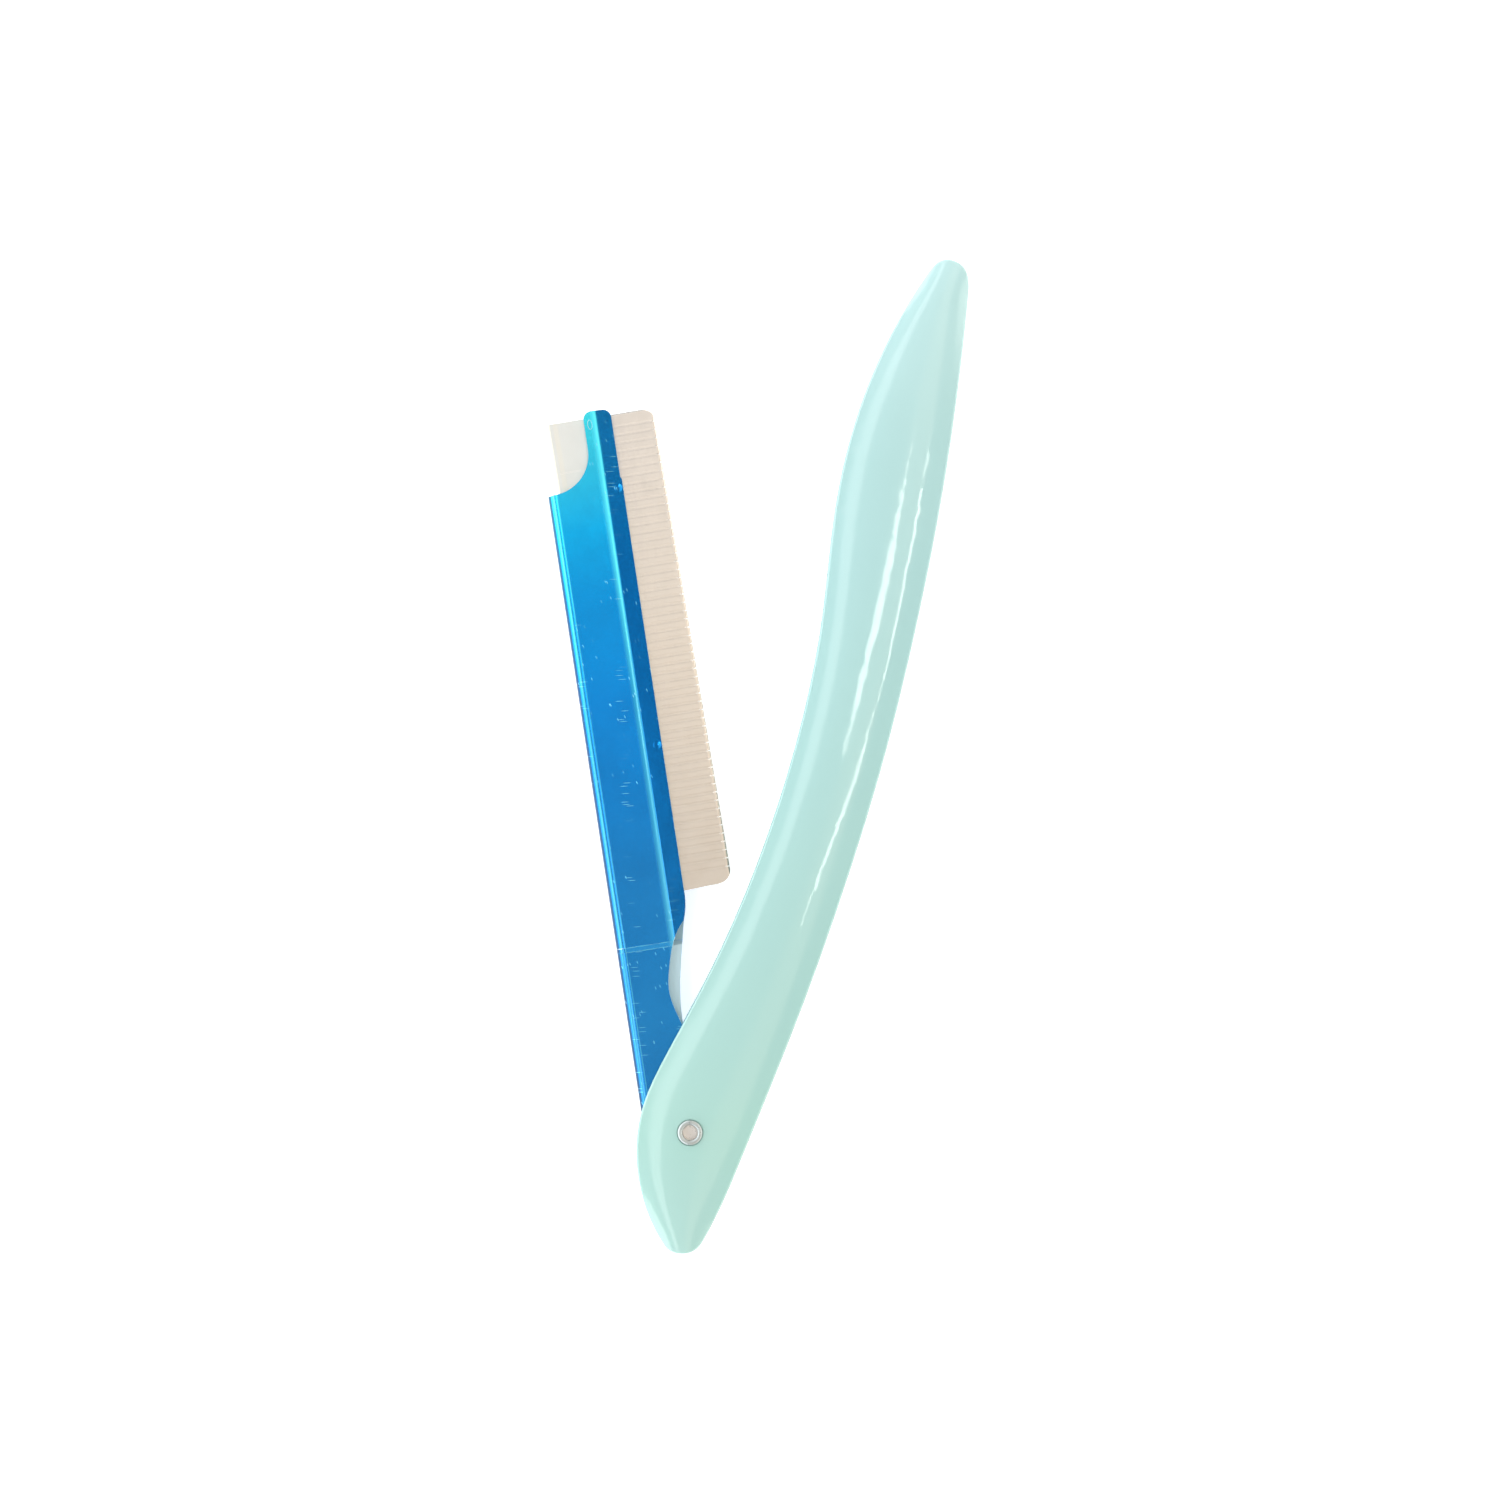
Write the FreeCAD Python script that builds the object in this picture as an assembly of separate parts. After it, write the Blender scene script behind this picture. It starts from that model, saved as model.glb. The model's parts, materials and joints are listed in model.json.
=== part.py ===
"""Folding hair-shaper razor: a channel blade holder that swings out of a two-scale handle on one rivet.

Frame: the razor lies on its rear scale. +Y runs along the handle from the pivot end to the tip, +Z is up
through the handle's thickness, and the blade holder opens towards -X. The origin is the centre of the
underside of the whole razor's box. Shapes are drawn about the pivot, with z = 0 in the middle of the
handle's thickness, and moved to that origin at the end. All sizes are in millimetres and degrees.
"""
import FreeCAD
import Part
import math
import os
from FreeCAD import Vector

# Handle
SLOT = 3.6                 # gap between the two scales
HANDLE_THICKNESS = 8.0     # over both crowned scales
CROWN_DROP = 1.0           # how far a scale's outside falls from its middle to its edge
CROWN_POWER = 2.4          # 2 is a parabola; more keeps the middle flatter
LAND_RISE = 0.15           # crown planed off the rear scale, which leaves its flat rest land
EDGE_ROUND = 0.35          # rounding along each scale's outer edge
END_FALL_TIP = 11.0        # length over which the crown falls at the tip
END_FALL_HEEL = 9.0        # and at the heel
TIP_Y = 115.9
HEEL_Y = -15.3
SPACER_WIDTH = 1.2         # back spacer between the scales, along the convex edge
SPACER_START = 20.0
SPACER_END = 108.5

# The handle's edges, seen from above, from heel to tip
CONCAVE_EDGE = [(0.6, -14.9), (-4.05, -9.0), (-6.65, 0.0), (-5.2, 10.0), (-2.5, 22.0), (-0.25, 39.0),
                (0.2, 54.0), (-0.75, 68.0), (-2.7, 81.5), (-3.15, 92.5), (-1.65, 104.5), (1.2, 114.2)]
CONVEX_EDGE = [(5.2, -13.0), (6.1, -9.0), (7.4, 0.0), (9.25, 15.0), (10.75, 32.0), (11.55, 52.0),
               (11.2, 69.0), (9.7, 90.0), (8.0, 103.5), (6.6, 112.4)]

# Pivot
RIVET_RADIUS = 1.25
PIVOT_CLEARANCE = 0.05
RIVET_BORE_RADIUS = 0.95
RIVET_BORE_DEPTH = 2.2
CLINCH_RADIUS = 1.6
CLINCH_HEIGHT = 0.45
CLINCH_SEAT_DEPTH = 0.15
CLINCH_ROUND = 0.3
SEAT_CLEARANCE = 0.1
HEAD_RADIUS = 2.2
HEAD_THICKNESS = 0.6
HEAD_ROUND = 0.25
HEAD_INSET = 0.05          # the head lies this far inside the rear scale's land
WASHER_RADIUS = 3.2
WASHER_GAP = 0.05

# Blade holder: one folded sheet
SHEET = 0.4
BODY_HALF = 1.55           # half the holder's thickness where it holds the blade
TANG_HALF = 1.2            # and where it is pressed thinner to enter the handle
SPINE_X = -5.9
CREASE_X = 1.55
LIP_ANGLE = 16.0
LIP_LENGTH = 2.35
TIP_OF_HOLDER = 92.8
JOGGLE_Y = 24.3
JOGGLE_LENGTH = 0.6
EYE_RADIUS = 5.3
EYE_PAD_TOP = 12.0         # the walls lie flat out to the eye's edge up to here
NOTCH_RADIUS = 5.1         # finger notch at the holder's tip
NOTCH_CENTRE = (-5.05, 88.0)
SPINE_TOP = 82.7           # the notch runs out through the fold here
TONGUE_CORNER = 1.1
TONGUE_X = 3.65            # the lips are trimmed back beside the tongue
TONGUE_Y = 84.0
DIMPLE = (0.8, 91.1)       # small oval dent pressed into the tongue's front
DIMPLE_DEPTH = 0.15
CRIMPS_Y = (49.4, 82.6)    # dents that pinch the lips onto the guard
CRIMP_RADIUS = 2.5         # of the round punch
CRIMP_DEPTH = 0.06
CRIMP_SHARE = 0.72         # how far out along the lip they sit
NECK_TOP = (3.2, 26.7)     # where the lips end and the tang's edge begins
NECK_EDGE = [NECK_TOP, (2.84, 25.2), (1.13, 15.6), (1.55, 9.8)]
FRONT_RELIEF = [NECK_TOP, (1.9, 25.0), (0.56, 21.3), (0.03, 17.8), (0.6, 15.0), (1.4, 12.2)]
LIP_END_Y = 30.4
FOLD_RADIUS = 1.3
CREASE_RADIUS = 1.6
TANG_LIP_ANGLE = 3.0

# Blade, its crimped back and the comb guard, drawn square and then turned by the skew
BLADE_START = 30.2
BLADE_LENGTH = 61.8
BLADE_THICKNESS = 0.25
BLADE_EDGE_X = 9.78
BEVEL_WIDTH = 1.0
BACK_X = -4.0
BACK_WIDTH = 5.2
BACK_HALF = 0.68           # over the bulge of the fold
BACK_SHEET = 0.45
FOLD_BAND = 1.0            # width of that bulge
SCORE_Y = 85.5             # short score line across the back strip
SCORE_LENGTH = 2.6
SCORE_WIDTH = 0.14
SCORE_DEPTH = 0.05
LOW_CORNER = 1.7
HIGH_CORNER = 1.3
END_SLOPE = 0.3            # the lower end rises this much towards the cutting edge
GUARD_EDGE_X = 10.05
GUARD_SLOT_HALF = 0.19
GUARD_SHEET = 0.22
GUARD_FOLD = 0.35
GUARD_INNER_X = 1.6
TOOTH_PITCH = 1.07
TOOTH_GAP = 0.12
TOOTH_SLOT_X = 9.5         # through slots run from here out past the guard's edge
GROOVE_START_X = 3.3       # shallow grooves run across the cheeks from here to the slots
GROOVE_RADIUS = 1.4
GROOVE_DEPTH = 0.022
SKEW = 0.9                 # the blade and guard lie this far out of line with the holder

OPEN_ANGLE = 23.6          # holder's angle from the handle's axis as modelled

Z = Vector(0, 0, 1)
ORIGIN = Vector(0, 0, 0)


def rounded_face(corners, to_3d):
    """Flat face inside a ring of (a, b, radius) corners, each rounded by its own arc."""
    count = len(corners)
    ends = []
    for i, (a, b, radius) in enumerate(corners):
        here = Vector(a, b, 0)
        before = (Vector(*corners[i - 1][:2], 0) - here).normalize()
        after = (Vector(*corners[(i + 1) % count][:2], 0) - here).normalize()
        if radius == 0:
            ends.append((here, None, here))
            continue
        half = before.getAngle(after) / 2
        reach = radius / math.tan(half)
        bisector = (before + after).normalize()
        middle = here + bisector * (radius / math.sin(half) - radius)
        ends.append((here + before * reach, middle, here + after * reach))
    edges = []
    for i, (start, middle, end) in enumerate(ends):
        if middle is not None:
            edges.append(Part.Arc(to_3d(start), to_3d(middle), to_3d(end)).toShape())
        following = ends[(i + 1) % count][0]
        if end.distanceToPoint(following) > 1e-6:
            edges.append(Part.LineSegment(to_3d(end), to_3d(following)).toShape())
    return Part.Face(Part.Wire(edges))


def plan(z):
    """Places a drawn (x, y) point at height z."""
    return lambda p: Vector(p.x, p.y, z)


def section(y):
    """Places a drawn (x, z) point on the cross-section at y."""
    return lambda p: Vector(p.x, y, p.y)


def spline(points, z):
    curve = Part.BSplineCurve()
    curve.interpolate([Vector(x, y, z) for x, y in points])
    return curve


def tidy(shape):
    """The one solid in a cut or fused shape, with split faces joined."""
    return shape.removeSplitter().Solids[0]


def cylinder(radius, low, high, at=(0, 0)):
    return Part.makeCylinder(radius, high - low, Vector(at[0], at[1], low), Z)


# ---- handle ----

def handle_outline(z):
    """The handle's outline: two splined edges joined by round ends that leave them smoothly."""
    concave = spline(CONCAVE_EDGE, z)
    convex = spline(CONVEX_EDGE, z)
    pieces = [concave.toShape(), convex.toShape()]
    for y, low in ((TIP_Y, False), (HEEL_Y, True)):
        ends = []
        for curve in (concave, convex):
            u = curve.FirstParameter if low else curve.LastParameter
            tangent = curve.tangent(u)[0]
            ends.append((curve.value(u), tangent * (-1 if low else 1)))
        cap = Part.BSplineCurve()
        top = Vector((ends[0][0].x + ends[1][0].x) / 2 + (0.1 if low else 0.0), y, z)
        cap.interpolate(Points=[ends[0][0], top, ends[1][0]],
                        InitialTangent=ends[0][1], FinalTangent=ends[1][1] * -1)
        pieces.append(cap.toShape())
    return Part.Wire(Part.__sortEdges__(pieces))


def edge_x(curve, y):
    """Where an edge spline crosses height y, held at its ends beyond them."""
    first, last = curve.value(curve.FirstParameter), curve.value(curve.LastParameter)
    if y <= first.y:
        return first.x
    if y >= last.y:
        return last.x
    low, high = curve.FirstParameter, curve.LastParameter
    for _ in range(40):
        middle = (low + high) / 2
        if curve.value(middle).y < y:
            low = middle
        else:
            high = middle
    return curve.value(low).x


def crown_cutter(top):
    """Solid above a scale's crowned outside: highest along its middle, lower at its edges and ends."""
    concave, convex = spline(CONCAVE_EDGE, 0), spline(CONVEX_EDGE, 0)
    across, along = 13, 34
    reach = 1.35               # the surface carries on past the edges
    first_y, last_y = HEEL_Y - 3, TIP_Y + 3
    rows = []
    for i in range(along):
        y = first_y + (last_y - first_y) * i / (along - 1)
        left, right = edge_x(concave, y), edge_x(convex, y)
        centre, half = (left + right) / 2, max((right - left) / 2, 3.0)
        past_tip = (y - (TIP_Y - END_FALL_TIP)) / END_FALL_TIP
        past_heel = (HEEL_Y + END_FALL_HEEL - y) / END_FALL_HEEL
        end = max(past_tip, past_heel, 0)
        row = []
        for j in range(across):
            share = reach * (2 * j / (across - 1) - 1)
            fall = CROWN_DROP * (abs(share) ** CROWN_POWER + end ** CROWN_POWER)
            row.append(Vector(centre + half * share, y, top - fall))
        rows.append(row)
    surface = Part.BSplineSurface()
    surface.interpolate(rows)
    return surface.toShape().extrude(Z * (HANDLE_THICKNESS + 4))


def rounded_outer_edge(solid, radius):
    """Rounds the edge between a scale's crown and its side."""
    inner = SLOT / 2
    rim = []
    for edge in solid.Edges:
        box = edge.BoundBox
        if box.ZMin > inner + 0.2 and box.DiagonalLength > 3:
            rim.append(edge)
    return solid.makeFillet(radius, rim)


def scale_blank(top):
    """A scale drawn as the upper one: flat inside, crowned outside."""
    slab = Part.Face(handle_outline(SLOT / 2)).extrude(Z * (HANDLE_THICKNESS / 2 - SLOT / 2 + 0.5))
    return slab.cut(crown_cutter(top))


def front_scale():
    top = HANDLE_THICKNESS / 2
    scale = rounded_outer_edge(scale_blank(top), EDGE_ROUND)
    scale = scale.cut(cylinder(RIVET_RADIUS, 0, top + 1))
    return tidy(scale.cut(cylinder(CLINCH_RADIUS + SEAT_CLEARANCE, top - CLINCH_SEAT_DEPTH, top + 1)))


def rear_scale():
    top = HANDLE_THICKNESS / 2
    scale = rounded_outer_edge(scale_blank(top + LAND_RISE), EDGE_ROUND)
    scale = scale.cut(Part.makeBox(80, 160, 5, Vector(-40, -30, top)))
    scale = scale.cut(cylinder(RIVET_RADIUS, 0, top + 1))
    scale = scale.cut(cylinder(HEAD_RADIUS + SEAT_CLEARANCE, top - HEAD_THICKNESS - HEAD_INSET, top + 1))
    return tidy(scale.mirror(ORIGIN, Z))


def back_spacer():
    """Narrow strip that joins the scales along their convex edge and leaves the rest of the slot open."""
    slab = Part.Face(handle_outline(-SLOT / 2)).extrude(Z * SLOT)
    inner = [(x - SPACER_WIDTH, y) for x, y in CONVEX_EDGE]
    curve = spline(inner, -SLOT / 2).toShape()
    first, last = curve.valueAt(curve.FirstParameter), curve.valueAt(curve.LastParameter)
    far = [last, Vector(40, last.y, last.z), Vector(40, first.y, first.z), first]
    keep = Part.Face(Part.Wire([curve, Part.makePolygon(far)])).extrude(Z * SLOT)
    strip = slab.common(keep)
    window = Part.makeBox(60, SPACER_END - SPACER_START, SLOT, Vector(-10, SPACER_START, -SLOT / 2))
    strip = strip.common(window)
    corners = [e for e in strip.Edges if e.BoundBox.ZLength > SLOT - 0.1 and e.BoundBox.XLength < 0.01]
    return tidy(strip.makeFillet(0.45, corners))


# ---- pivot ----

def pivot_rivet():
    """Semi-tubular rivet: flush head under the rear scale, hollow end rolled over on the front one."""
    seat = HANDLE_THICKNESS / 2 - CLINCH_SEAT_DEPTH
    head_low = -HANDLE_THICKNESS / 2 + HEAD_INSET
    top = seat + CLINCH_HEIGHT
    shank = cylinder(RIVET_RADIUS, head_low, seat + 0.1)
    head = cylinder(HEAD_RADIUS, head_low, head_low + HEAD_THICKNESS)
    head = head.makeFillet(HEAD_ROUND, [e for e in head.Edges if abs(e.BoundBox.ZMax - head_low) < 0.01])
    roll = cylinder(CLINCH_RADIUS, seat, top)
    rivet = shank.fuse([head, roll]).cut(cylinder(RIVET_BORE_RADIUS, top - RIVET_BORE_DEPTH, top + 1))
    rivet = tidy(rivet)
    rims = [e for e in rivet.Edges if abs(e.BoundBox.ZMin - top) < 0.01 and e.BoundBox.ZLength < 0.01]
    return rivet.makeFillet(CLINCH_ROUND, rims).Solids[0]


def thrust_washer(side):
    low = TANG_HALF + WASHER_GAP
    high = SLOT / 2 - WASHER_GAP
    bore = cylinder(RIVET_RADIUS + PIVOT_CLEARANCE, low - 1, high + 1)
    ring = cylinder(WASHER_RADIUS, low, high).cut(bore).Solids[0]
    return ring if side > 0 else ring.mirror(ORIGIN, Z)


# ---- blade holder ----

def channel_section(y, half, angle):
    """Cross-section of the folded sheet at y: round spine, flat walls, and lips leaning in by the angle."""
    slope = math.radians(angle)
    run, drop = LIP_LENGTH * math.cos(slope), LIP_LENGTH * math.sin(slope)
    fold = min(FOLD_RADIUS, half - 0.1)
    outer = [(CREASE_X + run, half - drop, 0), (CREASE_X, half, CREASE_RADIUS), (SPINE_X, half, fold)]
    inner = [(outer[0][0] - SHEET * math.sin(slope), outer[0][1] - SHEET * math.cos(slope), 0),
             (CREASE_X - SHEET * math.tan(slope / 2), half - SHEET, CREASE_RADIUS - SHEET),
             (SPINE_X + SHEET, half - SHEET, fold - SHEET)]
    ring = outer + mirrored(outer)[::-1] + mirrored(inner) + inner[::-1]
    return rounded_face(ring, section(y))


def mirrored(corners):
    return [(x, -z, radius) for x, z, radius in corners]


def straight_channel(start, end, half, angle):
    return channel_section(start, half, angle).extrude(Vector(0, end - start, 0))


def joggle():
    """The short slope where the sheet is pressed thinner, so that it can enter the handle."""
    start = JOGGLE_Y - JOGGLE_LENGTH
    rise = BODY_HALF - TANG_HALF
    section_face = channel_section(start, TANG_HALF, TANG_LIP_ANGLE)
    upper = section_face.common(Part.makeBox(20, 2, 5, Vector(-10, start - 1, 0)))
    upper = upper.extrude(Vector(0, JOGGLE_LENGTH, rise))
    strip = Part.makeBox(SHEET, JOGGLE_LENGTH, 2 * rise, Vector(SPINE_X, start, -rise))
    return upper.fuse([upper.mirror(ORIGIN, Z), strip])


def holder_plan():
    """The holder's outline from above: tip tongue, finger notch, lip end, neck and pivot eye."""
    lip = CREASE_X + LIP_LENGTH * math.cos(math.radians(LIP_ANGLE)) + 0.02
    outside = SPINE_X - 1
    cx, cy = NOTCH_CENTRE
    notch_side = cx + NOTCH_RADIUS
    notch_low = (SPINE_X + 1, cy - math.sqrt(NOTCH_RADIUS ** 2 - (SPINE_X + 1 - cx) ** 2))
    bend = math.radians(-45)
    notch_middle = (cx + NOTCH_RADIUS * math.cos(bend), cy + NOTCH_RADIUS * math.sin(bend))
    eye_angle = math.radians(38)
    eye = (EYE_RADIUS * math.cos(eye_angle), EYE_RADIUS * math.sin(eye_angle))
    neck = smooth(NECK_EDGE + [eye], (-0.3, -1), (math.sin(eye_angle), -math.cos(eye_angle)))
    edges = [neck, arc(NECK_TOP, (3.65, 28.4), (lip, LIP_END_Y))]
    edges.append(arc(eye, (0, -EYE_RADIUS), (-EYE_RADIUS, 0)))
    edges.append(arc((notch_side, cy), notch_middle, notch_low))
    top = TIP_OF_HOLDER
    bow = TONGUE_CORNER * (1 - math.sqrt(0.5))
    for x, inward in ((notch_side, 1), (TONGUE_X, -1)):
        corner_middle = (x + inward * bow, top - bow)
        edges.append(arc((x, top - TONGUE_CORNER), corner_middle, (x + inward * TONGUE_CORNER, top)))
    edges += path([(lip, LIP_END_Y), (lip, TONGUE_Y - 0.4), (TONGUE_X, TONGUE_Y)])
    edges += path([(TONGUE_X, TONGUE_Y), (TONGUE_X, top - TONGUE_CORNER)])
    edges += path([(TONGUE_X - TONGUE_CORNER, top), (notch_side + TONGUE_CORNER, top)])
    edges += path([(notch_side, top - TONGUE_CORNER), (notch_side, cy)])
    edges += path([notch_low, (outside, SPINE_TOP), (outside, 0.8), (-EYE_RADIUS, 0)])
    return Part.Wire(Part.__sortEdges__(edges))


def smooth(points, start_direction=None, end_direction=None):
    """Spline edge through flat points, leaving and arriving in the given directions where there are any."""
    curve = Part.BSplineCurve()
    vectors = [Vector(x, y, 0) for x, y in points]
    if start_direction is None:
        curve.interpolate(vectors)
    else:
        curve.interpolate(Points=vectors, InitialTangent=Vector(*start_direction, 0),
                          FinalTangent=Vector(*end_direction, 0))
    return curve.toShape()


def arc(start, middle, end):
    return Part.Arc(Vector(*start, 0), Vector(*middle, 0), Vector(*end, 0)).toShape()


def path(points):
    return Part.makePolygon([Vector(x, y, 0) for x, y in points]).Edges


def prism(wire, low, high):
    """Upright solid of a flat outline drawn at z = 0."""
    return Part.Face(wire).extrude(Z * (high - low)).translate(Z * low)


def blade_holder():
    body = straight_channel(JOGGLE_Y, TIP_OF_HOLDER + 1, BODY_HALF, LIP_ANGLE)
    tang = straight_channel(-EYE_RADIUS - 1, JOGGLE_Y - JOGGLE_LENGTH, TANG_HALF, TANG_LIP_ANGLE)
    eye_pad = Part.makeBox(6, 8 + EYE_PAD_TOP, SHEET, Vector(1, -8, TANG_HALF - SHEET))
    pads = [eye_pad, eye_pad.mirror(ORIGIN, Z)]
    sheet = tidy(body.fuse([tang, joggle()] + pads))
    sheet = sheet.common(prism(holder_plan(), -3, 3))
    sheet = sheet.cut(cylinder(RIVET_RADIUS + PIVOT_CLEARANCE, -3, 3))
    right = 6
    relief = [smooth(FRONT_RELIEF)]
    relief += path([FRONT_RELIEF[-1], (right, FRONT_RELIEF[-1][1]), (right, NECK_TOP[1]), NECK_TOP])
    sheet = sheet.cut(prism(Part.Wire(Part.__sortEdges__(relief)), 0, 3))
    return tidy(sheet.cut(press_marks()))


def press_marks():
    """Shallow dents: one oval on the tongue, and one pair at each crimp on the lips."""
    oval = Part.Ellipse(Vector(*DIMPLE, 0) + Vector(0, 0.6, 0), Vector(*DIMPLE, 0) + Vector(0.28, 0, 0),
                        Vector(*DIMPLE, 0)).toShape()
    marks = [prism(Part.Wire([oval]), BODY_HALF - DIMPLE_DEPTH, BODY_HALF + 1)]
    lip = math.radians(LIP_ANGLE)
    reach = LIP_LENGTH * CRIMP_SHARE
    above = CRIMP_RADIUS - CRIMP_DEPTH
    punch_x = CREASE_X + reach * math.cos(lip) + above * math.sin(lip)
    punch_z = BODY_HALF - reach * math.sin(lip) + above * math.cos(lip)
    for y in CRIMPS_Y:
        mark = Part.makeSphere(CRIMP_RADIUS, Vector(punch_x, y, punch_z))
        marks += [mark, mark.mirror(ORIGIN, Z)]
    return marks


# ---- blade, back strip and comb guard ----

def seated(shape):
    """Turns a loose piece by the small skew it sits at in the holder."""
    return shape.rotate(Vector(0, BLADE_START, 0), Z, SKEW)


def blade():
    """Flat strip with one bevel each side along its edge, and rounded corners at that edge."""
    half = BLADE_THICKNESS / 2
    edge_half = 0.02
    back = BACK_X + BACK_SHEET + 0.05
    shoulder = BLADE_EDGE_X - BEVEL_WIDTH
    ring = [(back, half), (shoulder, half), (BLADE_EDGE_X, edge_half), (BLADE_EDGE_X, -edge_half),
            (shoulder, -half), (back, -half), (back, half)]
    wire = Part.makePolygon([Vector(x, BLADE_START, z) for x, z in ring])
    strip = Part.Face(wire).extrude(Vector(0, BLADE_LENGTH, 0))
    outline = strip_outline(back, BLADE_EDGE_X, BLADE_START, BLADE_START + BLADE_LENGTH)
    return seated(tidy(strip.common(prism(outline, -1, 1))))


def strip_outline(left, right, low, high):
    """Outline of a strip with rounded outer corners, the lower one more, and a lower end that slopes up."""
    sloped = low + END_SLOPE
    bow = 1 - math.sqrt(0.5)
    edges = path([(left, high), (left, low), (right - LOW_CORNER, sloped)])
    edges.append(arc((right - LOW_CORNER, sloped), (right - LOW_CORNER * bow, sloped + LOW_CORNER * bow),
                     (right, sloped + LOW_CORNER)))
    edges += path([(right, sloped + LOW_CORNER), (right, high - HIGH_CORNER)])
    edges.append(arc((right, high - HIGH_CORNER), (right - HIGH_CORNER * bow, high - HIGH_CORNER * bow),
                     (right - HIGH_CORNER, high)))
    edges += path([(right - HIGH_CORNER, high), (left, high)])
    return Part.Wire(Part.__sortEdges__(edges))


def blade_back():
    """Strip folded over the blade's back edge and crimped onto both its faces."""
    half = BLADE_THICKNESS / 2
    flat = half + BACK_SHEET
    right = BACK_X + BACK_WIDTH
    outer = [(right, flat, 0), (BACK_X + FOLD_BAND + 0.6, flat, 0.8), (BACK_X + FOLD_BAND, BACK_HALF, 0.4),
             (BACK_X, BACK_HALF, 0.5)]
    inner = [(right, half, 0), (BACK_X + BACK_SHEET + 0.05, half, 0)]
    ring = outer + mirrored(outer)[::-1] + mirrored(inner) + inner[::-1]
    strip = rounded_face(ring, section(BLADE_START)).extrude(Vector(0, BLADE_LENGTH, 0))
    score_at = Vector(BACK_X + FOLD_BAND, SCORE_Y, flat - SCORE_DEPTH)
    score = Part.makeBox(SCORE_LENGTH, SCORE_WIDTH, 1, score_at)
    return seated(tidy(strip.cut([score, score.mirror(ORIGIN, Z)])))


def comb_guard():
    """Thin strip folded over the cutting edge: pressed ribs across it end in slots that form the comb."""
    face = GUARD_SLOT_HALF + GUARD_SHEET
    outer = [(GUARD_INNER_X, face, 0), (GUARD_EDGE_X, face, GUARD_FOLD)]
    inner = [(GUARD_INNER_X, GUARD_SLOT_HALF, 0), (GUARD_EDGE_X - GUARD_SHEET, GUARD_SLOT_HALF, 0)]
    ring = outer + mirrored(outer)[::-1] + mirrored(inner) + inner[::-1]
    start = BLADE_START + 0.05
    length = BLADE_LENGTH - 0.2
    strip = rounded_face(ring, section(start)).extrude(Vector(0, length, 0))
    outline = strip_outline(GUARD_INNER_X, GUARD_EDGE_X, start, start + length)
    strip = strip.common(prism(outline, -1, 1))
    first = start + END_SLOPE + LOW_CORNER + 0.3
    count = int((start + length - HIGH_CORNER - first) / TOOTH_PITCH) + 1
    groove_length = TOOTH_SLOT_X - GROOVE_START_X + 0.1
    cuts = []
    for i in range(count):
        y = first + i * TOOTH_PITCH
        cuts.append(Part.makeBox(2, TOOTH_GAP, 2, Vector(TOOTH_SLOT_X, y - TOOTH_GAP / 2, -1)))
        groove_at = Vector(GROOVE_START_X, y, face + GROOVE_RADIUS - GROOVE_DEPTH)
        groove = Part.makeCylinder(GROOVE_RADIUS, groove_length, groove_at, Vector(1, 0, 0))
        cuts += [groove, groove.mirror(ORIGIN, Z)]
    return seated(tidy(strip.cut(cuts)))


# ---- assembly ----

HANDLE_NODES = {
    "front_scale": front_scale,
    "rear_scale": rear_scale,
    "back_spacer": back_spacer,
    "pivot_rivet": pivot_rivet,
    "front_washer": lambda: thrust_washer(1),
    "rear_washer": lambda: thrust_washer(-1),
}
HOLDER_NODES = {
    "blade_holder": blade_holder,
    "blade": blade,
    "blade_back": blade_back,
    "comb_guard": comb_guard,
}

os.makedirs("parts", exist_ok=True)
shapes = {}
for name, make in HANDLE_NODES.items():
    shapes[name] = make()
for name, make in HOLDER_NODES.items():
    shapes[name] = make().rotate(ORIGIN, Z, OPEN_ANGLE)

whole = Part.makeCompound(list(shapes.values())).optimalBoundingBox(False, False)
shift = Vector(-whole.Center.x, -whole.Center.y, -whole.ZMin)
for name, shape in shapes.items():
    shape.translate(shift)
    shape.exportStep("parts/" + name + ".step")
    print(name, shape.ShapeType, len(shape.Solids), shape.isValid(), round(shape.Volume, 2))
print("pivot at", round(shift.x, 4), round(shift.y, 4), round(shift.z, 4))
print("size", round(whole.XLength, 3), round(whole.YLength, 3), round(whole.ZLength, 3))
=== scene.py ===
"""Looks for the folding hair-shaper razor: mint plastic, blue lacquered sheet, bare and plated steel."""

import json
import math

import bpy
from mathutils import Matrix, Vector

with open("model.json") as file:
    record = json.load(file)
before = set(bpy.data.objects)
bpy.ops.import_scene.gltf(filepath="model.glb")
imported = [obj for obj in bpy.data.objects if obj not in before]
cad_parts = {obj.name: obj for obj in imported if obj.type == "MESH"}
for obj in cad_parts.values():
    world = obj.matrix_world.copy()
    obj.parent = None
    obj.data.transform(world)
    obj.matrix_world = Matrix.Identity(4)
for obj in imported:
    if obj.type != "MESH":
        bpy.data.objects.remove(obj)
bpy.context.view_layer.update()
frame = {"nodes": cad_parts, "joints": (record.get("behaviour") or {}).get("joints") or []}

MM = 0.001
PIVOT = Vector(frame["joints"][0]["pos_m"])
SLIDE = Vector(frame["joints"][1]["axis"])
SEAT_ANGLE = math.atan2(-SLIDE.x, SLIDE.y)      # how far the blade's line is turned from the handle's
BLADE_SKEW = math.radians(0.9)                  # the blade lies this little out of line with its holder
HOLDER_ANGLE = SEAT_ANGLE - BLADE_SKEW
HANDLE_ANGLE = 0.0

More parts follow.
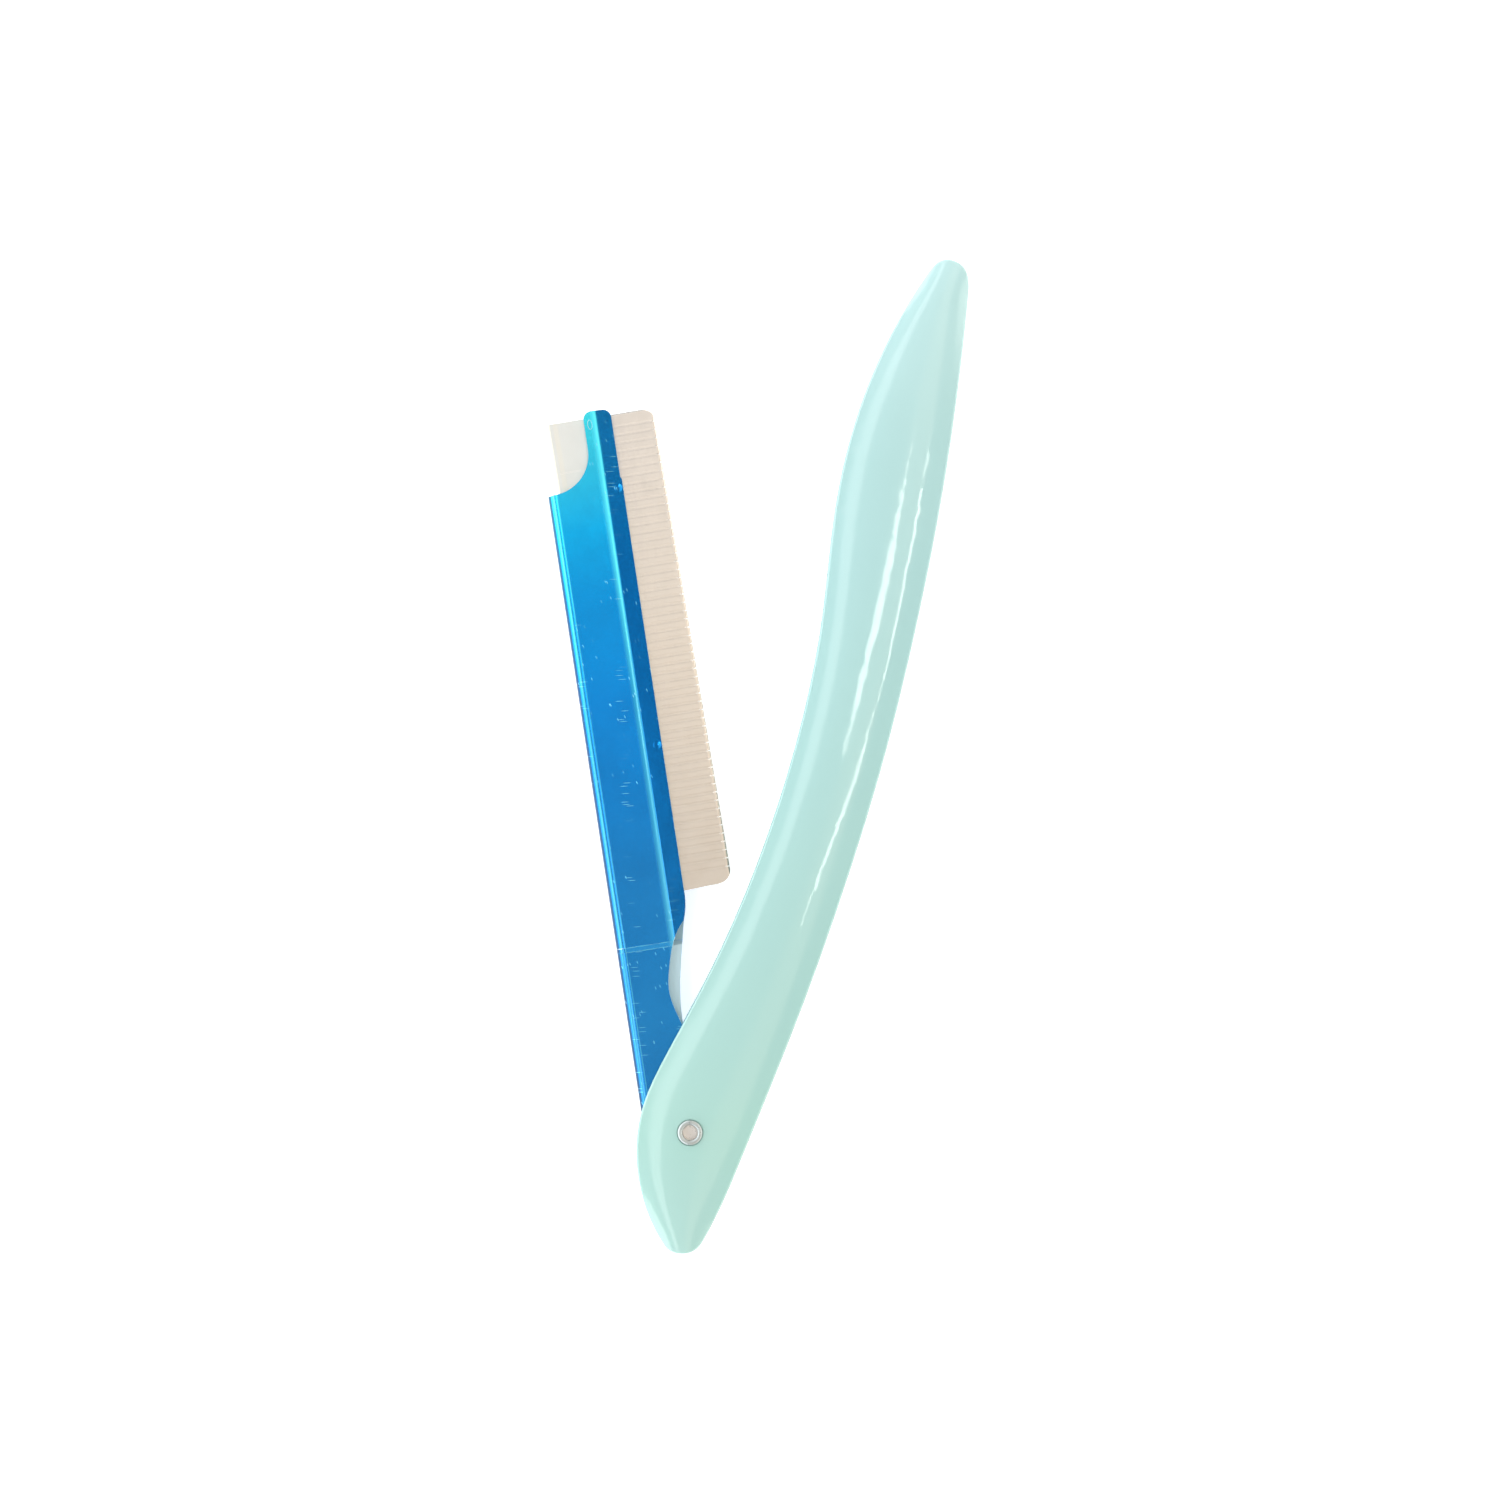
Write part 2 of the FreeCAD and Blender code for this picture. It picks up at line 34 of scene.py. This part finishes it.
# Places in millimetres, across a piece from the pivot's line and along it from the pivot
OUTER_FOLD = -5.9
OUTER_FOLD_HIGHLIGHTS = ((-5.15, 0.5), (-4.72, 0.22))    # painted highlight lines along the outer fold: across, and how wide
CREASE = 1.45                       # where the holder's wall turns into its lip
JOGGLE_BENDS = (23.7, 24.3)         # the step down from the wall to the tang
# how wide each painted highlight line on the joggle's bends is, along the piece
BEND_HIGHLIGHT_WIDTH = 0.3
RUBBED_BELOW = (27.0, 34.0)         # the handle's edges rub the lacquer as the holder swings past them
LIP_SHADE_ABOVE = (40.0, 70.0)         # painted shade: the lips are pushed toward a darker blue, more so toward the top
TIP_STRUCK = 12.0, 6.0              # short of the top, where the press struck the holder harder
HOLDER_TOP = 92.8
BLADE_START = 30.2
BACK_FOLD = -2.85                   # in line with the blade, not with its holder
HANDLE_HEEL = -15.3
HANDLE_TIP = 115.9
RIVET_TOP = 4.3


# ---- small tools ----

def colour(text):
    """Linear RGBA from an sRGB hex value such as "b5deda"."""
    channels = [int(text[i:i + 2], 16) / 255 for i in (0, 2, 4)]
    linear = [c / 12.92 if c <= 0.04045 else ((c + 0.055) / 1.055) ** 2.4 for c in channels]
    return (*linear, 1.0)


def add(tree, kind, *values, stops=(), **settings):
    """Adds a shader node. Values go to its sockets in order, and a setting names a property or a socket,
    with _ for each space. A node given as a value links its first output. Stops are a ramp's (place, colour)
    pairs."""
    node = tree.nodes.new("ShaderNode" + kind)
    for key in [key for key in settings if hasattr(node, key)]:
        setattr(node, key, settings.pop(key))
    wanted = [(node.inputs[key.replace("_", " ")], value) for key, value in settings.items()]
    wanted += zip([socket for socket in node.inputs if socket.enabled], values)
    for socket, value in wanted:
        if isinstance(value, bpy.types.Node):
            value = next(output for output in value.outputs if output.enabled)
        if isinstance(value, bpy.types.NodeSocket):
            tree.links.new(value, socket)
        else:
            socket.default_value = value
    for i, (place, shade) in enumerate(stops):
        element = node.color_ramp.elements[i] if i < 2 else node.color_ramp.elements.new(place)
        element.position = place
        element.color = shade
    return node


def new_tree(name):
    """A material with no nodes in it yet, and its node tree."""
    material = bpy.data.materials.new(name)
    material.use_nodes = True
    material.node_tree.nodes.clear()
    return material, material.node_tree


def wear(material, *names):
    """Puts a finished material on CAD pieces."""
    for name in names:
        slots = frame["nodes"][name].data.materials
        slots.clear()
        slots.append(material)


def piece_place(tree, angle):
    """Place on a piece in millimetres from the pivot, with Y along the piece, turned by the angle."""
    place = add(tree, "TexCoord").outputs["Object"]
    moved = add(tree, "VectorMath", place, PIVOT, operation="SUBTRACT")
    turned = add(tree, "VectorRotate", moved, Angle=-angle, rotation_type="Z_AXIS")
    return add(tree, "VectorMath", turned, Scale=1 / MM, operation="SCALE")


def rolling_lines(tree, place, spacing, length):
    """Streaks drawn out along a piece by rolling or grinding, this far apart and this long in millimetres."""
    drawn = add(tree, "VectorMath", place, (1 / spacing, 1 / length, 1 / spacing), operation="MULTIPLY")
    return add(tree, "TexNoise", drawn, Scale=1.0, Detail=2.0)


def near_edge(tree, reach):
    """1 along a piece's sharp edges, fading out within the reach in millimetres."""
    at_edge, clear_of_it = 0.8, 0.99            # how alike the rounded and the true directions are
    rounded = add(tree, "Bevel", reach * MM, samples=6)
    facing = add(tree, "NewGeometry").outputs["Normal"]
    likeness = add(tree, "VectorMath", rounded, facing, operation="DOT_PRODUCT")
    return add(tree, "MapRange", likeness, at_edge, clear_of_it, 1.0, 0.0)


def line_at(tree, value, centre, width):
    """1 where a value passes its centre, fading to 0 at half the width each side."""
    offset = add(tree, "Math", value, centre, operation="SUBTRACT")
    distance = add(tree, "Math", offset, operation="ABSOLUTE")
    return add(tree, "MapRange", distance, 0.0, width / 2, 1.0, 0.0, interpolation_type="SMOOTHSTEP")


def nicks(tree, place, length, width, share, turn):
    """Sparse straight scratches of one length and width in millimetres, turned from across the piece. The
    share is how many of the places for one are taken."""
    mark = 0.24                                 # a mark's size in the cells that place it
    turned = add(tree, "VectorRotate", place, Angle=turn, rotation_type="Z_AXIS")
    drawn = add(tree, "VectorMath", turned, (mark / length, mark / width, 0.0), operation="MULTIPLY")
    cells = add(tree, "TexVoronoi", drawn, Scale=1.0, voronoi_dimensions="2D")
    drawn_mark = add(tree, "MapRange", cells.outputs["Distance"], mark * 0.3, mark * 0.5, 1.0, 0.0)
    draw = add(tree, "SeparateColor", cells.outputs["Color"]).outputs["Red"]
    taken = add(tree, "Math", draw, share, operation="LESS_THAN")
    return add(tree, "Math", drawn_mark, taken, operation="MULTIPLY")


def bare_inside(tree, height):
    """1 on a folded sheet's inner face, whose own direction points back to the middle of its thickness."""
    sheared_edge = -0.05                        # an edge faces neither way, and stays with the outside
    facing = add(tree, "SeparateXYZ", add(tree, "TexCoord").outputs["Normal"]).outputs["Z"]
    outward = add(tree, "Math", facing, height, operation="MULTIPLY")
    return add(tree, "Math", outward, sheared_edge, operation="LESS_THAN")


# ---- colours: the ramps run from the pivot's end of a piece to its tip ----

# painted light falloff: the mint runs slightly greyer at the heel and paler toward the tip
MINT_WITH_PAINTED_LIGHT = [(0.0, colour("9dc2bc")), (0.1, colour("98c0b9")), (0.35, colour("98bfbc")), (0.7, colour("9bc1c2")),
        (0.85, colour("a1c5c6")), (1.0, colour("aed0d2"))]
MINT_CLOUD = colour("95bcbc")
# painted light: the blue runs paler and more cyan toward the top as light falloff, and the last stop is a
# painted highlight on the tongue
LACQUER_WITH_PAINTED_LIGHT = [(0.0, colour("2485ca")), (0.15, colour("228ace")), (0.36, colour("1a86ce")),
           (0.47, colour("0e8ada")), (0.6, colour("0590e4")), (0.75, colour("00a4f0")),
           (0.84, colour("07bffe")), (1.0, colour("48f2ff"))]
# painted highlight colours for the crease, the outer fold and the joggle's bends, from the pivot's end to the
# top
PAINTED_FOLD_HIGHLIGHT = [(0.0, colour("46a9d8")), (0.6, colour("249cc2")), (0.8, colour("42cee8")),
                (1.0, colour("48d8ee"))]
LACQUER_CLOUD = colour("0a6fb4")
# painted shade: dark navy standing in for the dark reflected at the outer fold's edge
PAINTED_FOLD_EDGE_SHADE = colour("08365f")
# painted shade for the lips, which face away from the light
PAINTED_LIP_SHADE = colour("048aec")
RUBBED_LACQUER = colour("7fd0ee")
# bare steel painted pale: a painted highlight on the sheared edges, and the inside painted lit against the
# channel's shade with a painted reflection of the blue
BARE_EDGE_HIGHLIGHT = colour("cae4f0")
BARE_INSIDE_PAINTED_LIT = colour("d3f0fa")
# painted highlight along the folded strip's fold
PAINTED_FOLD_SHEEN = colour("faf8ec")
# painted highlight for the steel pieces' sharp edges
PAINTED_RIM_HIGHLIGHT = colour("f2efec")
NICKEL = colour("aeb6b6")
# painted light: a pale warm colour that lifts the shade deep in the rivet's bore
PAINTED_LIT_BORE = colour("f6f2ee")
NYLON = colour("d8d5c8")
PALE_NYLON = colour("e6e3d8")
TABLE = colour("f4f4f4")
PALE_TABLE = colour("f8f8f8")
TABLE_GLOW = colour("ffffff")
DAYLIGHT = colour("fffdf6")


# ---- materials ----

def moulded_plastic():
    """ABS, injection-moulded in opaque mint off a polished mould: a wet gloss whose reflections waver a
    little where the plastic sank as it cooled. Painted light falloff makes the body slightly greyer at the
    heel and paler at the tip."""
    material, tree = new_tree("mint_moulded_abs")
    sink, cloud_size, smear_size, orange_peel = 9.0, 18.0, 3.0, 0.4
    place = piece_place(tree, HANDLE_ANGLE)
    along = add(tree, "SeparateXYZ", place).outputs["Y"]
    share = add(tree, "MapRange", along, HANDLE_HEEL, HANDLE_TIP)
    # the ramp paints light falloff along the handle
    body = add(tree, "ValToRGB", share, stops=MINT_WITH_PAINTED_LIGHT)
    cloud = add(tree, "TexNoise", place, Scale=1 / cloud_size, Detail=2.0)
    amount = add(tree, "MapRange", cloud, 0.3, 0.7, 0.0, 0.3)
    body = add(tree, "Mix", amount, body, MINT_CLOUD, data_type="RGBA")
    ripple = add(tree, "TexNoise", place, Scale=1 / sink, Detail=1.0)
    peel = add(tree, "TexNoise", place, Scale=1 / orange_peel, Detail=2.0)
    height = add(tree, "Math", peel, 0.02, ripple, operation="MULTIPLY_ADD")
    bump = add(tree, "Bump", Height=height, Strength=0.2, Distance=0.06 * MM)
    smear = add(tree, "TexNoise", place, Scale=1 / smear_size, Detail=4.0)
    gloss = add(tree, "MapRange", smear, 0.35, 0.75, 0.05, 0.1)
    shader = add(tree, "BsdfPrincipled", Base_Color=body, Roughness=gloss, IOR=1.54, Normal=bump)
    add(tree, "OutputMaterial", shader)
    return material


def painted_fold_highlights(tree, place, across, along):
    """1 where highlights are painted: over the crease, in lines along the outer fold, and in patches on the
    bends at the tang."""
    patch_size = 1.5
    soft = "SMOOTHSTEP"
    rise = add(tree, "MapRange", across, CREASE - 0.8, CREASE, 0.0, 1.0, interpolation_type=soft)
    drop = add(tree, "MapRange", across, CREASE + 0.1, CREASE + 0.35, 1.0, 0.0, interpolation_type=soft)
    painted_highlight = add(tree, "Math", rise, drop, operation="MULTIPLY")
    for centre, width in OUTER_FOLD_HIGHLIGHTS:
        painted_highlight = add(tree, "Math", line_at(tree, across, centre, width), painted_highlight, operation="MAXIMUM")
    bends = [line_at(tree, along, bend, BEND_HIGHLIGHT_WIDTH) for bend in JOGGLE_BENDS]
    bends = add(tree, "Math", *bends, operation="MAXIMUM")
    patches = add(tree, "TexNoise", place, Scale=1 / patch_size, Detail=2.0)
    broken = add(tree, "MapRange", patches, 0.35, 0.6, 0.1, 0.7)
    bends = add(tree, "Math", bends, broken, operation="MULTIPLY")
    return add(tree, "Math", painted_highlight, bends, operation="MAXIMUM")


def rub_marks(tree, place, along, height):
    """Scratches through the lacquer, not the same ones on the two sides: most of all low down, where the
    handle's edges rub it, and elsewhere in patches."""
    other_side, patch_size = 37.0, 9.0
    side = add(tree, "Math", height, operation="SIGN")
    shift = add(tree, "CombineXYZ", 0.0, add(tree, "Math", side, other_side, operation="MULTIPLY"))
    marked = add(tree, "VectorMath", place, shift, operation="ADD")
    long_nicks = nicks(tree, marked, length=1.2, width=0.1, share=0.2, turn=0.1)
    short_nicks = nicks(tree, marked, length=0.5, width=0.13, share=0.15, turn=1.3)
    rubbed = add(tree, "Math", long_nicks, short_nicks, operation="MAXIMUM")
    handled = add(tree, "TexNoise", place, Scale=1 / patch_size, Detail=1.0)
    often = add(tree, "MapRange", handled, 0.45, 0.6, 0.0, 0.8)
    low = add(tree, "MapRange", along, *RUBBED_BELOW, 0.6, 0.0)
    often = add(tree, "Math", often, low, operation="MAXIMUM")
    return add(tree, "Math", rubbed, often, operation="MULTIPLY")


def lacquered_sheet():
    """Bright steel sheet, blanked and folded, then sprayed outside with transparent blue lacquer. It mirrors
    softly through the colour. The blue runs paler and more cyan toward the top as painted light falloff, with
    a painted highlight on the tongue. Painted highlights run over the crease, along the outer fold and on the
    bends at the tang; painted shade darkens the outer fold's edge and the lips. The lacquer is lost in nicks
    and at the sheared edges, which carry a painted highlight too. The inside is bare, painted pale cyan as if
    lit."""
    material, tree = new_tree("blue_lacquered_sheet_steel")
    buckle, cloud_size, grain = 6.0, 7.0, 0.25
    place = piece_place(tree, HOLDER_ANGLE)
    axes = add(tree, "SeparateXYZ", place)
    across, along, height = axes.outputs["X"], axes.outputs["Y"], axes.outputs["Z"]
    share = add(tree, "MapRange", along, 0.0, HOLDER_TOP)

    # painted light falloff along the holder, with a painted highlight at the tongue
    coat = add(tree, "ValToRGB", share, stops=LACQUER_WITH_PAINTED_LIGHT)
    cloud = add(tree, "TexNoise", place, Scale=1 / cloud_size, Detail=3.0)
    amount = add(tree, "MapRange", cloud, 0.4, 0.7, 0.0, 0.25)
    coat = add(tree, "Mix", amount, coat, LACQUER_CLOUD, data_type="RGBA")
    # painted shade at the outer fold's edge
    fold_edge_shade = add(tree, "MapRange", across, OUTER_FOLD + 0.25, OUTER_FOLD + 0.6, 0.85, 0.0)
    coat = add(tree, "Mix", fold_edge_shade, coat, PAINTED_FOLD_EDGE_SHADE, data_type="RGBA")
    # painted shade on the lip beyond the crease
    on_lip = add(tree, "MapRange", across, CREASE + 0.1, CREASE + 0.5)
    lip_shade = add(tree, "MapRange", along, *LIP_SHADE_ABOVE, 0.4, 0.85)
    lip_shade = add(tree, "Math", on_lip, lip_shade, operation="MULTIPLY")
    coat = add(tree, "Mix", lip_shade, coat, PAINTED_LIP_SHADE, data_type="RGBA")
    # painted highlights over the crease, along the outer fold and on the joggle's bends
    painted_highlight = painted_fold_highlights(tree, place, across, along)
    highlight_coat = add(tree, "ValToRGB", share, stops=PAINTED_FOLD_HIGHLIGHT)
    coat = add(tree, "Mix", painted_highlight, coat, highlight_coat, data_type="RGBA")
    rubbed = rub_marks(tree, place, along, height)
    coat = add(tree, "Mix", rubbed, coat, RUBBED_LACQUER, data_type="RGBA")

    # the inside and the sheared edges are bare steel; their pale colours are painted highlight on the edges
    # and painted light and reflection inside
    inside = bare_inside(tree, height)
    bare = add(tree, "Math", inside, near_edge(tree, 0.12), operation="MAXIMUM")
    steel = add(tree, "Mix", inside, BARE_EDGE_HIGHLIGHT, BARE_INSIDE_PAINTED_LIT, data_type="RGBA")
    body = add(tree, "Mix", bare, coat, steel, data_type="RGBA")
    # painted highlights and the bare places lose most of their metal, so their painted pale colours show
    # whatever is reflected
    dull = add(tree, "Math", painted_highlight, bare, operation="MAXIMUM")
    metal = add(tree, "MapRange", dull, 0.0, 1.0, 0.88, 0.35)

    press = add(tree, "TexNoise", place, Scale=1 / buckle, Detail=1.0)
    struck_from, struck_to = [HOLDER_TOP - short for short in TIP_STRUCK]
    struck = add(tree, "MapRange", along, struck_from, struck_to, 1.0, 1.8)
    press = add(tree, "Math", press, struck, operation="MULTIPLY")
    fine = add(tree, "TexNoise", place, Scale=1 / grain, Detail=2.0)
    relief = add(tree, "Math", fine, 0.02, press, operation="MULTIPLY_ADD")
    relief = add(tree, "Math", rubbed, -0.1, relief, operation="MULTIPLY_ADD")
    bump = add(tree, "Bump", Height=relief, Strength=0.5, Distance=0.1 * MM)
    gloss = add(tree, "MapRange", fine, 0.3, 0.8, 0.14, 0.24)
    shader = add(tree, "BsdfPrincipled", Base_Color=body, Metallic=metal, Roughness=gloss, Normal=bump,
                 Coat_Weight=0.2, Coat_Roughness=0.05)
    add(tree, "OutputMaterial", shader)
    return material


def steel_finish(name, shades_with_falloff, stain, line_spacing, dull, bright_rim, fold_sheen_reach=None):
    """Cold-rolled or plated steel: the colours run from the blade's start to the top, growing paler upward as
    painted light falloff, with a slight stain in patches, fine lines along the piece, and a painted highlight
    along its sharp edges. Dull gives the least and the greatest roughness. A strip folded double gets a
    painted highlight along the fold, out to its reach across the piece."""
    material, tree = new_tree(name)
    line_length, stain_size, fold_fade = 4.0, 2.5, 0.15
    place = piece_place(tree, SEAT_ANGLE)
    axes = add(tree, "SeparateXYZ", place)
    share = add(tree, "MapRange", axes.outputs["Y"], BLADE_START, HOLDER_TOP)
    # painted light falloff: the ramp grows paler toward the top
    stops = [(i / (len(shades_with_falloff) - 1), colour(text)) for i, text in enumerate(shades_with_falloff)]
    body = add(tree, "ValToRGB", share, stops=stops)
    patch = add(tree, "TexNoise", place, Scale=1 / stain_size, Detail=3.0)
    amount = add(tree, "MapRange", patch, 0.35, 0.75, 0.0, 0.35)
    body = add(tree, "Mix", amount, body, colour(stain), data_type="RGBA")
    # painted highlight along the fold of a strip folded double
    if fold_sheen_reach is not None:
        fold = add(tree, "MapRange", axes.outputs["X"], fold_sheen_reach - fold_fade, fold_sheen_reach, 1.0, 0.0)
        body = add(tree, "Mix", fold, body, PAINTED_FOLD_SHEEN, data_type="RGBA")
    # painted highlight along the sharp edges, where the metal also drops so the pale colour shows
    rim = add(tree, "Math", near_edge(tree, 0.15), bright_rim, operation="MULTIPLY")
    body = add(tree, "Mix", rim, body, PAINTED_RIM_HIGHLIGHT, data_type="RGBA")
    lines = rolling_lines(tree, place, line_spacing, line_length)
    bump = add(tree, "Bump", Height=lines, Strength=0.1, Distance=0.01 * MM)
    gloss = add(tree, "MapRange", lines, 0.3, 0.8, *dull)
    metal = add(tree, "MapRange", rim, 0.0, 1.0, 0.95, 0.5)
    shader = add(tree, "BsdfPrincipled", Base_Color=body, Metallic=metal, Roughness=gloss, Normal=bump)
    add(tree, "OutputMaterial", shader)
    return material


def plated_rivet():
    """Semi-tubular steel rivet, nickel-plated: a bright rolled ring with faint setting marks round it, and a
    bore painted pale and warm as painted light, lifting the shade inside it."""
    material, tree = new_tree("nickel_plated_rivet")
    mark_size = 0.35
    place = piece_place(tree, HANDLE_ANGLE)
    height = add(tree, "SeparateXYZ", place).outputs["Z"]
    # painted light in the bore, lifting its shade
    deep = add(tree, "MapRange", height, RIVET_TOP - 0.9, RIVET_TOP - 0.35, 1.0, 0.0)
    body = add(tree, "Mix", deep, NICKEL, PAINTED_LIT_BORE, data_type="RGBA")
    marks = add(tree, "TexNoise", place, Scale=1 / mark_size, Detail=2.0)
    gloss = add(tree, "MapRange", marks, 0.3, 0.7, 0.26, 0.36)
    bump = add(tree, "Bump", Height=marks, Strength=0.06, Distance=0.03 * MM)
    metal = add(tree, "MapRange", deep, 0.0, 1.0, 0.9, 0.4)
    shader = add(tree, "BsdfPrincipled", Base_Color=body, Metallic=metal, Roughness=gloss, Normal=bump)
    add(tree, "OutputMaterial", shader)
    return material


def punched_nylon():
    """Natural nylon, punched from sheet: waxy off-white, with a slight mottle."""
    material, tree = new_tree("natural_nylon")
    mottle_size = 0.7
    place = piece_place(tree, HANDLE_ANGLE)
    mottle = add(tree, "TexNoise", place, Scale=1 / mottle_size, Detail=3.0)
    body = add(tree, "Mix", mottle, NYLON, PALE_NYLON, data_type="RGBA")
    gloss = add(tree, "MapRange", mottle, 0.3, 0.7, 0.38, 0.5)
    shader = add(tree, "BsdfPrincipled", Base_Color=body, Roughness=gloss, IOR=1.53)
    add(tree, "OutputMaterial", shader)
    return material


wear(moulded_plastic(), "front_scale", "rear_scale", "back_spacer")
wear(lacquered_sheet(), "blade_holder")
wear(plated_rivet(), "pivot_rivet")
wear(punched_nylon(), "front_washer", "rear_washer")
wear(steel_finish("ground_blade_steel", ["cacac7", "ccccca"], "c0bfba", 0.15, (0.25, 0.31), 0.3), "blade")
wear(steel_finish("rolled_bright_strip", ["d6d9d6", "dadddb"], "d0d2cf", 0.2, (0.34, 0.44), 0.6, BACK_FOLD),
     "blade_back")
# the guard's ramp is painted light falloff: browner and darker low down, paler toward the top
wear(steel_finish("nickel_plated_strip", ["c6bcb0", "d4cabe", "dbd4cd"], "cfc8bf", 0.2, (0.28, 0.38), 0.5),
     "comb_guard")


# ---- floor, light and camera ----

FRAME_WIDTH = 193.6 * MM            # seen across the picture at the pivot's height
VIEW_CENTRE = PIVOT + Vector((-4.294, 48.426, 0.0)) * MM
ROLL = math.radians(15.0)           # the handle leans this far to the right in the picture
CAMERA_HEIGHT = 0.55
SENSOR = 36.0
RIGHT = Vector((math.cos(ROLL), math.sin(ROLL), 0.0))
UP = Vector((-math.sin(ROLL), math.cos(ROLL), 0.0))
FLOOR_HALF = 1.5
FLOOR_DROP = 0.2 * MM               # keeps the table clear of the flat land under the razor
FLOOR_GLOW = 0.5

# The room round the table, by the slope of a direction to the picture's right: brightness, then warmth
WALLS = [(-2.0, 1.4, 0), (-1.3, 1.5, 0), (-1.1, 0.2, 0), (-0.6, 0.2, 0), (-0.52, 1.05, 0), (-0.34, 1.18, 0),
         (-0.29, 0.32, 0), (0.06, 0.28, 0), (0.13, 0.55, 1), (0.38, 0.62, 1), (0.46, 0.1, 0), (0.9, 0.09, 0),
         (1.15, 0.8, 0.5), (2.0, 1.1, 0.5)]
WARMTH = (0.0, 0.12, 0.26)          # what a warm wall keeps back of red, green and blue
STEEPEST = 2.0
LOWEST = 0.05                       # directions nearer the horizon than this count as this high
ROOM_STRENGTH = 2.4

# Gaps between the blinds, in millimetres: the two ends of each, right and up of the camera, then its width
WINDOW_GAPS = {
    "wide_gap": ((104, 54), (37, 6), 28),
    "narrow_gap": ((233, 40), (238, -30), 24),
    "foot_of_gap": ((222, -45), (119, -72), 20),
}
GAP_RADIANCE = 9.0


def overhead(right, up):
    """Point level with the camera, in millimetres from it to the picture's right and up."""
    return VIEW_CENTRE + Vector((0.0, 0.0, CAMERA_HEIGHT)) + (RIGHT * right + UP * up) * MM


def make_camera():
    """A camera that looks straight down, rolled so that the handle leans."""
    data = bpy.data.cameras.new("camera")
    data.sensor_width = SENSOR
    data.lens = SENSOR * CAMERA_HEIGHT / FRAME_WIDTH
    data.clip_start = 0.01
    camera = bpy.data.objects.new("camera", data)
    bpy.context.scene.collection.objects.link(camera)
    camera.location = overhead(0, 0)
    camera.rotation_euler = (0.0, 0.0, ROLL)
    bpy.context.scene.camera = camera


def make_floor():
    """A white light table, which glows a little, so that the shadows on it stay faint."""
    material, tree = new_tree("white_light_table")
    grains_per_metre = 300.0
    place = add(tree, "TexCoord").outputs["Object"]
    grain = add(tree, "TexNoise", place, Scale=grains_per_metre, Detail=2.0)
    body = add(tree, "Mix", grain, TABLE, PALE_TABLE, data_type="RGBA")
    shader = add(tree, "BsdfPrincipled", Base_Color=body, Roughness=0.9, Specular_IOR_Level=0.1,
                 Emission_Color=TABLE_GLOW, Emission_Strength=FLOOR_GLOW)
    add(tree, "OutputMaterial", shader)
    mesh = bpy.data.meshes.new("floor")
    corners = [(x * FLOOR_HALF, y * FLOOR_HALF, 0.0) for x, y in ((-1, -1), (1, -1), (1, 1), (-1, 1))]
    mesh.from_pydata(corners, [], [(0, 1, 2, 3)])
    mesh.materials.append(material)
    floor = bpy.data.objects.new("floor", mesh)
    floor.location.z = -FLOOR_DROP
    bpy.context.scene.collection.objects.link(floor)


def make_gap(name, start, end, width):
    """A bright slot overhead, which runs between two points and faces straight down."""
    ends = overhead(*start), overhead(*end)
    run = ends[1] - ends[0]
    data = bpy.data.lights.new(name, "AREA")
    data.shape = "RECTANGLE"
    data.size = run.length
    data.size_y = width * MM
    data.energy = GAP_RADIANCE * math.pi * data.size * data.size_y
    data.color = DAYLIGHT[:3]
    light = bpy.data.objects.new(name, data)
    bpy.context.scene.collection.objects.link(light)
    light.location = (ends[0] + ends[1]) / 2
    light.rotation_euler = (0.0, 0.0, math.atan2(run.y, run.x))
    light.visible_camera = False


def make_room():
    """A pale room: bright walls far left and far right, a bright and a warm strip, and a dimmer ceiling."""
    world = bpy.data.worlds.new("room")
    bpy.context.scene.world = world
    world.use_nodes = True
    tree = world.node_tree
    tree.nodes.clear()
    direction = add(tree, "TexCoord").outputs["Generated"]
    lean = add(tree, "VectorMath", direction, RIGHT, operation="DOT_PRODUCT")
    upward = add(tree, "SeparateXYZ", direction).outputs["Z"]
    rise = add(tree, "Math", upward, LOWEST, operation="MAXIMUM")
    slope = add(tree, "Math", lean, rise, operation="DIVIDE")
    share = add(tree, "MapRange", slope, -STEEPEST, STEEPEST)
    stops = []
    for place, level, warm in WALLS:
        shade = [level * (1 - warm * held) for held in WARMTH]
        stops.append((0.5 + place / STEEPEST / 2, (*shade, 1.0)))
    walls = add(tree, "ValToRGB", share, stops=stops)
    add(tree, "OutputWorld", add(tree, "Background", walls, ROOM_STRENGTH))


make_camera()
make_floor()
make_room()
for name, (start, end, width) in WINDOW_GAPS.items():
    make_gap(name, start, end, width)
bpy.context.scene.view_settings.view_transform = "Standard"
